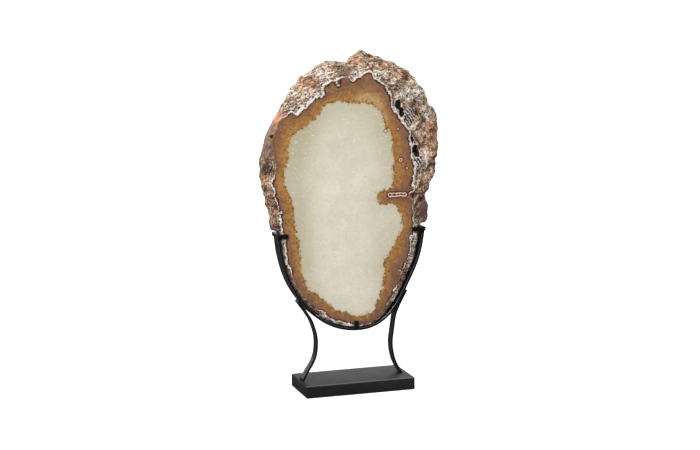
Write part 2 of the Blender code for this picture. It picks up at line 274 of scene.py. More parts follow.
# Cradle band
# One wide flat bar, bent on edge to follow the slab's lower half, so that the stone sits down into it.
# Its two ends stand upright at the slab's sides and carry the clips.

BAND_DEPTH = 0.025
BAND_THICK = 0.004
BAND_CORNER = 0.0007
BAND_LINE = [
    (-0.1192, 0.2362), (-0.1166, 0.2151), (-0.1113, 0.1922), (-0.1012, 0.1653), (-0.087, 0.1425),
    (-0.068, 0.1205), (-0.0453, 0.1035), (-0.0204, 0.0937), (0.0048, 0.0907), (0.0265, 0.0938),
    (0.046, 0.1038), (0.0655, 0.1237), (0.0822, 0.1535), (0.0934, 0.1764), (0.1022, 0.1988),
    (0.107, 0.22), (0.1093, 0.2362),
]


def side_normals(line):
    """Unit normals on the left-hand side of a line of (x, z) points."""
    along = np.gradient(line, axis=0)
    along /= np.linalg.norm(along, axis=1, keepdims=True)
    return np.column_stack([-along[:, 1], along[:, 0]])


band_outer = smooth_line(BAND_LINE, steps=220)
band_middle = band_outer + side_normals(band_outer) * BAND_THICK / 2
band_path = np.column_stack([band_middle[:, 0], np.zeros(len(band_middle)), band_middle[:, 1]])
band_bar = bar_grid(band_path, (0.0, 1.0, 0.0), BAND_DEPTH, BAND_THICK, BAND_CORNER)
bar_piece("cradle_band_bar", band_bar, frame_paint, "frame_paint", "cradle_band")

# Clips
# Two C-shaped pieces of bar, one welded across each end of the band, with a short finger along each face
# of the slab. Their solids have the right shape and stay, in the frame's paint.

for clip in ("clip_left", "clip_right"):
    for material_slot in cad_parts[clip].material_slots:
        material_slot.link = "OBJECT"
        material_slot.material = frame_paint

# Prongs
# Two short uprights of small bar, welded on the front and back edges of the band at its lowest place, so
# that the slab can't slide out forwards or back.

PRONG_CORNER = 0.0005
WELD_GAP = 0.0003

for prong in ("prong_front", "prong_back"):
    low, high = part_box(prong)
    to_band = math.copysign(WELD_GAP, -low.y)
    middle_y = (low.y + high.y + to_band) / 2
    prong_path = np.array([((low.x + high.x) / 2, middle_y, z) for z in (low.z, high.z)])
    prong_bar = bar_grid(prong_path, (1.0, 0.0, 0.0), high.x - low.x, high.y - low.y + WELD_GAP,
                         PRONG_CORNER)
    bar_piece(prong + "_bar", prong_bar, frame_paint, "frame_paint", prong)

# Agate slab
# A slice sawn across a large agate nodule, polished on both faces. A milky quartz core lies inside an
# ochre frill and a mauve-brown agate band, with a thin chalky rim, inside the nodule's own rough rind.

SLAB_THICK = 0.0244
SLAB_CENTRE = (-0.005, 0.300)
AROUND = 880
WIDEST_Y = 0.0025
RIM_DROP = 0.0036
BACK_INSET = 0.0045
BACK_SWING = 0.0065
BACK_FRILL = 0.018
FULL_RELIEF = 0.0035
STONE_GAP = 0.0003
CLIP_SIDE = 0.0047
OVER_CLIP = 0.0018
# Outlines by their (x, z) points: the polished face's, the rind's and the milky core's.
FACE_OUTLINE = [
    (0.093, 0.242), (0.092, 0.257), (0.091, 0.272), (0.087, 0.29), (0.09, 0.297), (0.093, 0.319),
    (0.092, 0.337), (0.088, 0.358), (0.084, 0.377), (0.085, 0.389), (0.071, 0.406), (0.064, 0.415),
    (0.057, 0.425), (0.055, 0.439), (0.047, 0.449), (0.042, 0.46), (0.032, 0.462), (0.024, 0.48),
    (0.008, 0.472), (-0.005, 0.461), (-0.013, 0.472), (-0.025, 0.469), (-0.035, 0.465), (-0.052, 0.455),
    (-0.05, 0.448), (-0.056, 0.444), (-0.071, 0.433), (-0.089, 0.419), (-0.096, 0.42), (-0.11, 0.412),
    (-0.121, 0.396), (-0.127, 0.382), (-0.126, 0.364), (-0.122, 0.344), (-0.126, 0.313), (-0.122, 0.3),
    (-0.116, 0.275), (-0.112, 0.252), (-0.111, 0.232), (-0.107, 0.216), (-0.099, 0.184), (-0.087, 0.156),
    (-0.07, 0.137), (-0.056, 0.124), (-0.039, 0.112), (-0.018, 0.104), (0.002, 0.099), (0.02, 0.1),
    (0.037, 0.11), (0.054, 0.133), (0.066, 0.157), (0.079, 0.187), (0.086, 0.205), (0.09, 0.225),
]
RIND_OUTLINE = [
    (0.0995, 0.233), (0.1, 0.24), (0.108, 0.246), (0.117, 0.2475), (0.119, 0.258), (0.119, 0.274),
    (0.1145, 0.288), (0.123, 0.302), (0.1275, 0.317), (0.1295, 0.332), (0.1325, 0.348), (0.135, 0.369),
    (0.1335, 0.388), (0.134, 0.404), (0.1285, 0.416), (0.118, 0.429), (0.111, 0.445), (0.1, 0.461),
    (0.085, 0.476), (0.07, 0.483), (0.058, 0.491), (0.044, 0.495), (0.032, 0.499), (0.021, 0.505),
    (0.012, 0.507), (0.002, 0.499), (-0.005, 0.493), (-0.012, 0.489), (-0.025, 0.489), (-0.039, 0.491),
    (-0.053, 0.486), (-0.072, 0.472), (-0.083, 0.465), (-0.096, 0.451), (-0.105, 0.436), (-0.11, 0.422),
    (-0.121, 0.408), (-0.128, 0.394), (-0.134, 0.38), (-0.1385, 0.363), (-0.14, 0.343), (-0.139, 0.321),
    (-0.136, 0.299), (-0.131, 0.284), (-0.1275, 0.269), (-0.127, 0.257), (-0.1265, 0.247),
    (-0.1175, 0.246), (-0.116, 0.236), (-0.13, 0.16), (-0.08, 0.08), (0.01, 0.06), (0.08, 0.1),
    (0.108, 0.17), (0.1035, 0.21), (0.1005, 0.224),
]
CORE_OUTLINE = [
    (-0.025, 0.434), (0.002, 0.431), (0.017, 0.43), (0.032, 0.424), (0.042, 0.409), (0.048, 0.394),
    (0.056, 0.379), (0.057, 0.359), (0.06, 0.335), (0.058, 0.318), (0.058, 0.306), (0.042, 0.3),
    (0.033, 0.292), (0.036, 0.284), (0.055, 0.279), (0.067, 0.273), (0.072, 0.257), (0.071, 0.234),
    (0.061, 0.222), (0.058, 0.213), (0.048, 0.199), (0.044, 0.175), (0.045, 0.163), (0.0365, 0.139),
    (0.027, 0.119), (0.018, 0.113), (-0.007, 0.117), (-0.035, 0.128), (-0.05, 0.142), (-0.072, 0.159),
    (-0.081, 0.177), (-0.085, 0.207), (-0.09, 0.237), (-0.094, 0.266), (-0.097, 0.287), (-0.106, 0.307),
    (-0.107, 0.339), (-0.102, 0.365), (-0.099, 0.382), (-0.083, 0.396), (-0.065, 0.407), (-0.053, 0.421),
    (-0.041, 0.432),
]
# The rind's larger forms: x, z, size, and the height that each one rises or sinks by.
RIND_FORMS = [
    (0.012, 0.489, 0.014, 0.003), (-0.011, 0.478, 0.007, -0.004), (-0.045, 0.474, 0.015, 0.0024),
    (-0.078, 0.453, 0.012, 0.0022), (-0.052, 0.457, 0.004, -0.004), (0.046, 0.479, 0.01, 0.0022),
    (0.072, 0.458, 0.014, 0.0026), (0.098, 0.432, 0.013, 0.0026), (0.067, 0.435, 0.005, -0.005),
    (0.072, 0.421, 0.005, -0.0055), (0.077, 0.409, 0.004, -0.0045), (0.092, 0.364, 0.005, -0.004),
    (0.109, 0.391, 0.011, 0.0022), (0.1095, 0.362, 0.007, 0.0036), (0.123, 0.373, 0.008, 0.0028),
    (0.103, 0.34, 0.008, -0.0018), (0.117, 0.325, 0.009, 0.0022), (0.102, 0.29, 0.006, -0.004),
    (0.108, 0.274, 0.009, 0.002), (-0.119, 0.402, 0.01, 0.0014), (-0.133, 0.352, 0.01, 0.0014),
    (-0.13, 0.31, 0.009, 0.0016),
]
# Where the rind is worn smooth: x, z, half width and half height.
SMOOTH_SPOTS = [
    (-0.113, 0.408, 0.014, 0.011), (-0.126, 0.39, 0.013, 0.015), (-0.133, 0.369, 0.011, 0.013),
    (0.112, 0.264, 0.009, 0.014), (-0.013, 0.476, 0.005, 0.008),
]


def polar_radius(points, angles, round_off):
    """Radius of an outline about the slab's centre, its corners rounded off over a small angle."""
    x, z = (np.array(points) - SLAB_CENTRE).T
    turn = np.arctan2(z, x)
    order = np.argsort(turn)
    fine = np.linspace(-math.pi, math.pi, 2880, endpoint=False)
    radius = np.interp(fine, turn[order], np.hypot(x, z)[order], period=2 * math.pi)
    waves = np.fft.rfftfreq(fine.size, d=1 / fine.size)
    radius = np.fft.irfft(np.fft.rfft(radius) * np.exp(-0.5 * (waves * round_off)**2), fine.size)
    return np.interp(angles, fine, radius, period=2 * math.pi)


def cradle_radius(angles):
    """Largest radius that clears the band's inner face and the clips, and no limit above them."""
    inner = band_outer + side_normals(band_outer) * (BAND_THICK + STONE_GAP)
    left_x, right_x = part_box("clip_left")[0].x + CLIP_SIDE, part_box("clip_right")[1].x - CLIP_SIDE
    clip_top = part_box("clip_left")[1].z + OVER_CLIP
    line = np.vstack([(left_x, clip_top), (left_x, band_outer[0, 1]), inner,
                      (right_x, band_outer[-1, 1]), (right_x, clip_top)])
    x, z = (line - SLAB_CENTRE).T
    turn = np.arctan2(z, x)
    inside = (angles > turn[0]) & (angles < turn[-1])
    no_limit = 1.0
    return np.where(inside, np.interp(angles, turn, np.hypot(x, z)), no_limit)


def polar_points(radius, angles):
    """(x, z) points at the radii and angles about the slab's centre."""
    return np.stack([SLAB_CENTRE[0] + radius * np.cos(angles), SLAB_CENTRE[1] + radius * np.sin(angles)],
                    axis=-1)


def blend(value, low, high):
    """0 below low, 1 above high, smooth between."""
    t = np.clip((value - low) / (high - low), 0.0, 1.0)
    return t * t * (3 - 2 * t)


def rock_noise(places, cell, seed):
    """Smooth noise from -1 to 1: seeded values at the corners of a cubic lattice, blended across a cell."""
    repeat = 32
    lattice = np.random.default_rng(seed).uniform(-1.0, 1.0, (repeat,) * 3)
    scaled = places / cell
    corner = np.floor(scaled).astype(int)
    part = scaled - corner
    part = part * part * (3 - 2 * part)
    total = np.zeros(places.shape[:-1])
    for step in product((0, 1), repeat=3):
        weight = np.prod(np.where(step, part, 1 - part), axis=-1)
        i, j, k = np.moveaxis((corner + step) % repeat, -1, 0)
        total += weight * lattice[i, j, k]
    return total


def lumps(places, *layers):
    """Rounded lumps: rock noise in layers, each given by its height, the size of its cells and its seed."""
    return sum(high * rock_noise(places, cell, seed) for high, cell, seed in layers)


def ridges(places, high, cell, seed):
    """Sharp ridges along the places where rock noise is 0: a half, less twice its size without its sign."""
    return high * (0.5 - 2 * np.abs(rock_noise(places, cell, seed)))


def signed_distance(places, outline):
    """Distance in the XZ plane from each place to a closed outline, less than nothing inside it."""
    start, end = outline, np.roll(outline, -1, axis=0)
    step = end - start
    slope = step[:, 0] / np.where(step[:, 1] == 0, 1e-9, step[:, 1])
    signed = np.empty(len(places))
    at_once = 4000
    for first in range(0, len(places), at_once):
        part = places[first:first + at_once, None]
        offset = part - start
        share = np.clip((offset * step).sum(axis=2) / (step**2).sum(axis=1), 0.0, 1.0)
        gap = np.linalg.norm(offset - share[..., None] * step, axis=2).min(axis=1)
        level = (start[:, 1] > part[..., 1]) != (end[:, 1] > part[..., 1])
        crossed = level & (offset[..., 0] < slope * offset[..., 1])
        signed[first:first + at_once] = np.where(crossed.sum(axis=1) % 2, -gap, gap)
    return signed


def spots(grid, places):
    """The strength of a marking on the front, fading out over each spot: (x, z, half width, half height)."""
    total = np.zeros(grid.shape[:2])
    for x, z, wide, high in places:
        away = ((grid[..., 0] - x) / wide)**2 + ((grid[..., 2] - z) / high)**2
        total = np.maximum(total, 1.15 * np.exp(-0.7 * away**1.5))
    return np.minimum(total, 1.0) * blend(-grid[..., 1], -0.012, -0.007)


def slab_edges(angles):
    """Radii all round: of the slab's widest place, of the front face's uneven rim and of the back face's."""
    widest = np.minimum(polar_radius(RIND_OUTLINE, angles, 0.006), cradle_radius(angles))
    face = np.minimum(polar_radius(FACE_OUTLINE, angles, 0.008), widest - 0.0012)
    rim = np.stack([face * np.cos(angles), 0 * angles, face * np.sin(angles)], axis=-1)
    face += lumps(rim, (0.0024, 0.0085, 31), (0.0014, 0.0038, 32))
    face = np.minimum(face, widest - 0.0010)
    swing = BACK_SWING * blend(rock_noise(rim, 0.045, 34), -0.5, 0.5) * blend(widest - face, 0.008, 0.02)
    back = widest - BACK_INSET - swing
    back += lumps(rim, (0.0008, 0.008, 33), (0.0006, 0.0034, 35))
    return widest, face, back


def slab_rows(angles, widest, face, back):
    """The slab without its relief, in rings from the middle of the front face to the middle of the back's.

    From the front's rim the rind first drops a little, then falls away to its widest place by a blend of a
    square and a quarter circle, or in the cradle by a seventh power, which keeps its edge nearly square. Its
    back is a quarter ellipse. The rings at which the front's rind starts and the back's ends come with it.
    """
    front_y, back_y = -SLAB_THICK / 2, SLAB_THICK / 2
    breadth = widest - face
    drop = RIM_DROP * blend(breadth, 0.006, 0.020)
    in_cradle = blend(-polar_points(widest, angles)[:, 1], -0.256, -0.238)
    inward = (1 - (1 - np.linspace(0.04, 1.0, 24))**1.5)[:-1, None]
    out = np.linspace(0.0, 1.0, 47)[:, None]**1.15
    shoulder = 0.45 * out**2 + 0.55 * (1 - np.sqrt(1 - out**2))
    shoulder = (1 - in_cradle) * shoulder + in_cradle * out**7
    round_back = np.radians(np.linspace(7.0, 90.0, 13))[:, None]
    front_radius = face + breadth * out
    front_depth = front_y + drop * blend(out, 0.0, 0.09) + (WIDEST_Y - front_y - drop) * shoulder
    back_radius = back + (widest - back) * np.cos(round_back)
    back_depth = WIDEST_Y + (back_y - WIDEST_Y) * np.sin(round_back) + 0 * widest
    radius = np.vstack([face * inward, front_radius, back_radius, back * inward[::-1]])
    depth = np.vstack([front_y + 0 * face * inward, front_depth, back_depth, back_y + 0 * back * inward])
    flat = polar_points(radius, angles)
    grid = np.stack([flat[..., 0], depth, flat[..., 1]], axis=-1)
    return grid, len(inward), len(inward) + len(out) + len(round_back) - 1


def rind_relief(grid, angles, breadth, first, last):
    """How far each point of the rind stands out, and coordinates that wrinkles flow along.

    Broad lumps and ridges carry finer ones, which are drawn out around the slab. Both are lower on the worn
    spots, in the cradle and where the rind is narrow, the broad ones also at the slab's widest place, and
    they end at the two rims.
    """
    height = lumps(grid, (0.0022, 0.017, 11), (0.0018, 0.0075, 12)) + ridges(grid, 0.0024, 0.013, 13)
    steps = np.linalg.norm(np.diff(grid, axis=0, prepend=grid[:1]), axis=2)
    flow = np.stack([0.14 * np.cos(angles) + 0 * steps, 2.6 * np.cumsum(steps, axis=0),
                     0.14 * np.sin(angles) + 0 * steps], axis=-1)
    fine = lumps(flow, (0.0014, 0.0085, 14)) + ridges(flow, 0.0013, 0.012, 15)
    fine += lumps(grid, (0.0011, 0.0030, 16))
    for x, z, size, rise in RIND_FORMS:
        away = np.hypot(grid[..., 0] - x, grid[..., 2] - z) / size
        height += rise * np.exp(-away**2) * (grid[..., 1] < WIDEST_Y + 0.004)
    height *= 1 - 0.55 * np.exp(-((grid[..., 1] - WIDEST_Y) / 0.006)**2)
    calm = 1 - 0.7 * spots(grid, SMOOTH_SPOTS)
    free = 0.3 + 0.7 * blend(grid[..., 2], 0.238, 0.262)
    roomy = 0.35 + 0.65 * blend(breadth, 0.004, 0.016)
    row = np.arange(len(grid))[:, None]
    on_rind = blend(row, first, first + 5) * blend(-row, -last, 3 - last)
    return (height + fine) * calm * free * roomy * on_rind, flow


def from_rims(grid, angles, face, back, first, last):
    """Distance in from a polished face's rim; on the rind, less than nothing: the way back over it."""
    from_rim = np.zeros(grid.shape[:2])
    for rows, rim in ((slice(0, first), face), (slice(last + 1, None), back)):
        places = grid[rows][..., [0, 2]].reshape(-1, 2)
        from_rim[rows] = -signed_distance(places, polar_points(rim, angles)[::2]).reshape(-1, AROUND)
    steps = np.linalg.norm(np.diff(grid[first:last + 1], axis=0), axis=2)
    walked = np.vstack([np.zeros(AROUND), np.cumsum(steps, axis=0)])
    from_rim[first:last + 1] = -np.minimum(walked, walked[-1] - walked)
    return from_rim


def slab_surface():
    """The slab: its rings moved out along their normals by the relief, but never into the band or the clips.

    Gives the grid of points, the relief as a share of its full height, the distance in from the rim of the
    polished face, which is less than nothing on the rind, and coordinates that wrinkles flow along.
    """
    angles = np.linspace(math.pi, -math.pi, AROUND, endpoint=False)
    widest, face, back = slab_edges(angles)
    grid, first, last = slab_rows(angles, widest, face, back)
    around = np.roll(grid, -1, axis=1) - np.roll(grid, 1, axis=1)
    normal = np.cross(np.gradient(grid, axis=0), around)
    normal /= np.maximum(np.linalg.norm(normal, axis=2, keepdims=True), 1e-12)
    relief, flow = rind_relief(grid, angles, widest - face, first, last)
    grid = grid + normal * relief[..., None]

    rind_rows = slice(first + 1, last)
    furthest_y = SLAB_THICK / 2 - 0.0001
    grid[rind_rows, :, 1] = np.clip(grid[rind_rows, :, 1], -furthest_y, furthest_y)
    offset = grid[..., [0, 2]] - SLAB_CENTRE
    turn = np.arctan2(offset[..., 1], offset[..., 0])
    reach = np.minimum(np.hypot(offset[..., 0], offset[..., 1]), cradle_radius(turn))
    grid[..., [0, 2]] = polar_points(reach, turn)
    return grid, relief / FULL_RELIEF, from_rims(grid, angles, face, back, first, last), flow


# Markings on the front, each spot as x, z, half width and half height.
CHALK_SPOTS = [
    (-0.046, 0.474, 0.013, 0.01), (-0.066, 0.443, 0.013, 0.006), (-0.087, 0.425, 0.009, 0.006),
    (-0.0955, 0.447, 0.005, 0.004), (-0.049, 0.445, 0.009, 0.007), (-0.024, 0.457, 0.004, 0.004),
    (0.09, 0.444, 0.02, 0.01), (0.004, 0.472, 0.01, 0.006), (0.037, 0.469, 0.009, 0.01),
    (0.11, 0.338, 0.008, 0.01), (0.11, 0.352, 0.004, 0.006), (0.115, 0.411, 0.007, 0.008),
    (-0.072, 0.452, 0.006, 0.004), (0.0945, 0.316, 0.003, 0.02), (-0.1275, 0.319, 0.0045, 0.009),
    (0.0865, 0.198, 0.0055, 0.014), (0.061, 0.142, 0.005, 0.011), (0.086, 0.397, 0.006, 0.01),
    (0.0935, 0.226, 0.0042, 0.016),
]
SALMON_SPOTS = [
    (-0.072, 0.459, 0.015, 0.011), (-0.112, 0.408, 0.01, 0.01), (0.003, 0.492, 0.011, 0.008),
    (0.043, 0.485, 0.014, 0.008), (0.123, 0.38, 0.014, 0.02), (0.122, 0.34, 0.011, 0.016),
    (0.114, 0.316, 0.008, 0.008), (0.106, 0.3, 0.007, 0.006), (0.114, 0.361, 0.013, 0.012),
    (-0.14, 0.275, 0.013, 0.026), (0.076, 0.47, 0.013, 0.006), (-0.034, 0.48, 0.005, 0.008),
    (-0.135, 0.322, 0.006, 0.01),
]
RIB_SPOTS = [(0.085, 0.408, 0.008, 0.012), (0.0985, 0.344, 0.005, 0.008)]
# The cavities are painted near black as painted shade, over dents that the rind's forms sink there.
CAVITY_SPOTS = [
    (0.0665, 0.427, 0.0038, 0.0065), (0.0715, 0.4155, 0.0038, 0.0065), (0.088, 0.3735, 0.0036, 0.0048),
    (0.093, 0.36, 0.004, 0.0055), (0.0975, 0.3535, 0.0038, 0.005), (-0.049, 0.457, 0.0034, 0.0038),
    (-0.0265, 0.461, 0.006, 0.003), (-0.1245, 0.3862, 0.004, 0.0026),
]
MAUVE_SPOTS = [
    (-0.013, 0.47, 0.01, 0.014), (-0.124, 0.393, 0.011, 0.022), (-0.132, 0.362, 0.012, 0.024),
    (-0.085, 0.417, 0.022, 0.006), (-0.048, 0.443, 0.022, 0.006), (0.108, 0.265, 0.014, 0.026),
    (-0.134, 0.32, 0.012, 0.044), (-0.118, 0.262, 0.01, 0.034), (0.083, 0.392, 0.008, 0.02),
    (0.094, 0.42, 0.012, 0.012), (0.022, 0.499, 0.009, 0.005), (-0.022, 0.483, 0.01, 0.005),
    (-0.104, 0.2, 0.01, 0.05), (0.092, 0.2, 0.008, 0.04), (0.1015, 0.222, 0.0035, 0.022),
    (-0.09, 0.158, 0.014, 0.024), (-0.066, 0.13, 0.014, 0.014), (0.076, 0.168, 0.012, 0.018),
    (0.048, 0.116, 0.02, 0.014),
]
VEIL_SPOTS = [(0.018, 0.437, 0.017, 0.0075), (0.035, 0.428, 0.008, 0.008), (0.044, 0.404, 0.006, 0.010)]
# Round lobes of rind that reach in over the polished face: x, z and radius.
RIM_LOBES = [
    (-0.0525, 0.446, 0.0036), (-0.0585, 0.445, 0.003), (-0.0262, 0.4585, 0.0018), (-0.029, 0.462, 0.0012),
    (-0.0315, 0.465, 0.0014), (-0.115, 0.2752, 0.001), (0.0695, 0.175, 0.0028), (0.09, 0.2265, 0.003),
    (0.088, 0.2915, 0.0045),
]
# How strong the white line is at places round the rim: x, z and strength.
RIM_WHITE = [
    (-0.089, 0.419, 1.7), (-0.05, 0.448, 1.6), (-0.024, 0.46, 0.9), (-0.013, 0.472, 0.1),
    (-0.004, 0.463, 1.0), (0.042, 0.46, 1.3), (0.085, 0.389, 1.5), (0.093, 0.345, 1.3),
    (0.092, 0.315, 2.0), (0.087, 0.29, 0.2), (0.092, 0.262, 0.5), (0.093, 0.242, 0.8),
    (0.088, 0.215, 0.9), (0.077, 0.18, 1.0), (0.072, 0.166, 0.1), (0.061, 0.147, 0.9),
    (0.053, 0.131, 0.7), (0.045, 0.12, 0.0), (0.004, 0.099, 0.1), (-0.005, 0.1, 0.9), (-0.05, 0.12, 1.0),
    (-0.063, 0.131, 0.1), (-0.082, 0.149, 0.1), (-0.095, 0.176, 0.0), (-0.099, 0.19, 0.9),
    (-0.112, 0.245, 0.9), (-0.12, 0.29, 0.8), (-0.125, 0.31, 0.9), (-0.124, 0.325, 0.7),
    (-0.123, 0.334, 0.0), (-0.126, 0.385, 0.0), (-0.108, 0.413, 0.2),
]


def patches(grid, size, seed, low, high):
    """The strength of a marking on the back: where rock noise, with some of a finer one added, is high."""
    value = rock_noise(grid, size, seed) + 0.4 * rock_noise(grid, size / 3, seed + 1)
    return blend(value, low, high) * blend(grid[..., 1], 0.006, 0.011)


def slab_marks(grid, relief, from_rim, flow):
    """What the slab's material reads at each point: how far from each edge, and how much of each marking."""
    for x, z, size in RIM_LOBES:
        away = np.hypot(grid[..., 0] - x, grid[..., 2] - z) - size
        from_rim = np.where(grid[..., 1] < WIDEST_Y, np.minimum(from_rim, away), from_rim)
    core_line = smooth_line(CORE_OUTLINE + CORE_OUTLINE[:1], steps=300)[:-1]
    core = signed_distance(grid[..., [0, 2]].reshape(-1, 2), core_line).reshape(from_rim.shape)
    core -= 0.5 * np.maximum(core + from_rim - BACK_FRILL, 0.0) * (grid[..., 1] > 0)
    x, z, white = np.array(RIM_WHITE).T
    turn = np.arctan2(z - SLAB_CENTRE[1], x - SLAB_CENTRE[0])
    order = np.argsort(turn)
    here = np.arctan2(grid[..., 2] - SLAB_CENTRE[1], grid[..., 0] - SLAB_CENTRE[0])
    return {
        "rim": from_rim,
        "core": core,
        "relief": relief,
        "chalk": spots(grid, CHALK_SPOTS) + patches(grid, 0.022, 41, 0.05, 0.55),
        "salmon": spots(grid, SALMON_SPOTS) + patches(grid, 0.026, 43, 0.10, 0.60),
        "mauve": spots(grid, MAUVE_SPOTS) + patches(grid, 0.030, 45, 0.00, 0.60),
        "cavity": spots(grid, CAVITY_SPOTS),
        "ribs": spots(grid, RIB_SPOTS),
        "veil": spots(grid, VEIL_SPOTS),
        "smooth": spots(grid, SMOOTH_SPOTS),
        "rim_white": np.interp(here, turn[order], white[order], period=2 * math.pi),
        "flow": flow,
    }


def span(tree, value, low, high):
    """0 where a value is at low, 1 where it is at high, smooth between. High may be the lesser."""
    made = node(tree, "ShaderNodeMapRange", {"Value": value, "From Min": low, "From Max": high},
                interpolation_type="SMOOTHSTEP")
    return made.outputs["Result"]


def product_of(tree, *values):
    """Numbers multiplied together."""
    total = values[0]
    for value in values[1:]:
        total = math_of(tree, "MULTIPLY", total, value)
    return total


def sum_of(tree, start, *terms):
    """A number, with each of the other values times its own weight added to it."""
    total = start
    for value, weight in terms:
        total = math_of(tree, "MULTIPLY_ADD", value, weight, total)
    return total


def warped(tree, where, size, amount):
    """Coordinates pushed about by noise, by up to about half the amount."""
    push = node(tree, "ShaderNodeTexNoise", {"Vector": where, "Scale": 1 / size, "Detail": 1.0})
    moved = tree.nodes.new("ShaderNodeVectorMath")
    moved.operation = "MULTIPLY_ADD"
    tree.links.new(push.outputs["Color"], moved.inputs[0])
    moved.inputs[1].default_value = (amount,) * 3
    centred = node(tree, "ShaderNodeMapping", {"Vector": where, "Location": (-amount / 2,) * 3})
    tree.links.new(centred.outputs["Vector"], moved.inputs[2])
    return moved.outputs["Vector"]


def from_line(tree, where, x, z, half):
    """Distance in the XZ plane from a short line along X, its middle at (x, z)."""
    axes = node(tree, "ShaderNodeSeparateXYZ", {"Vector": where})
    along = math_of(tree, "ABSOLUTE", math_of(tree, "SUBTRACT", axes.outputs["X"], x))
    past_end = math_of(tree, "MAXIMUM", math_of(tree, "SUBTRACT", along, half), 0.0)
    rise = math_of(tree, "SUBTRACT", axes.outputs["Z"], z)
    squares = math_of(tree, "MULTIPLY_ADD", past_end, past_end, product_of(tree, rise, rise))
    return math_of(tree, "SQRT", squares)


def ring(tree, distance, radius, half):
    """1 at and close to one distance, fading out to 0 at half a width on each side of it."""
    away = math_of(tree, "ABSOLUTE", math_of(tree, "SUBTRACT", distance, radius))
    return span(tree, away, half, half * 0.3)


def crisp(tree, value, contrast):
    """A noise around 0.5 with its contrast raised, kept between 0 and 1."""
    return span(tree, value, 0.5 - 0.5 / contrast, 0.5 + 0.5 / contrast)


def uneven(tree, value, *noises):
    """A number pushed up and down by noises around 0.5, each with its weight, by nothing on average."""
    return sum_of(tree, value, *noises, (0.5, -sum(weight for _, weight in noises)))


def laid_over(tree, under, share, strength, color):
    """A colour laid over another where a share is 1, as strongly as a number from 0 to 1 says."""
    return mix(tree, product_of(tree, share, strength), under, color)


def stone_readings(tree, where):
    """What the colours are worked out from: place, three sizes of noise, and the marks on the mesh."""
    axes = node(tree, "ShaderNodeSeparateXYZ", {"Vector": where}).outputs
    marks = {name: node(tree, "ShaderNodeAttribute", attribute_name=name).outputs["Fac"]
             for name in ("rim", "core", "relief", "chalk", "salmon", "mauve", "cavity", "ribs", "veil",
                          "smooth", "rim_white")}
    return SimpleNamespace(
        tree=tree, where=where, x=axes["X"], z=axes["Z"],
        behind=product_of(tree, span(tree, axes["Y"], -0.004, 0.0), 0.1),
        wavering=warped(tree, where, 0.006, 0.0020),
        flow=node(tree, "ShaderNodeAttribute", attribute_name="flow").outputs["Vector"],
        grain=noise(tree, where, 0.0030, 3.0, 0.6),
        medium=noise(tree, where, 0.0070, 3.0, 0.6),
        broad=noise(tree, where, 0.0260, 2.0),
        **marks)


def from_mark(at, where, x, z, half=0.0, grainy=0.0):
    """Distance on the front from a short level line, made uneven by the grain. It is large at the back."""
    return sum_of(at.tree, from_line(at.tree, where, x, z, half), (at.behind, 1.0), (at.grain, grainy))


def milky_quartz(at):
    """The core's colour: soft clouds, greyer and greener towards its edge, with small bright crystals."""
    tree = at.tree
    color = ramp(tree, at.broad, (0.30, tone(212, 207, 187)), (0.70, tone(223, 217, 200)))
    shade = sum_of(tree, 0.0, (span(tree, at.core, -0.040, -0.002), 0.36),
                   (span(tree, at.z, 0.31, 0.43), 0.72), (span(tree, at.x, -0.040, -0.090), 1.00),
                   (span(tree, at.x, 0.010, 0.050), 0.42))
    color = laid_over(tree, color, shade, 0.60, tone(180, 172, 146))
    strokes = node(tree, "ShaderNodeMapping", {"Vector": at.where, "Rotation": (0.0, 0.35, 0.0),
                                               "Scale": (2.2, 1.0, 1.0)}, vector_type="TEXTURE")
    crystals = span(tree, noise(tree, strokes.outputs["Vector"], 0.0022, 2.0), 0.60, 0.74)
    color = laid_over(tree, color, crystals, 0.50, tone(238, 233, 219))
    dull = span(tree, noise(tree, at.where, 0.0040, 3.0, 0.7), 0.50, 0.70)
    return laid_over(tree, color, dull, 0.31, tone(176, 168, 140))


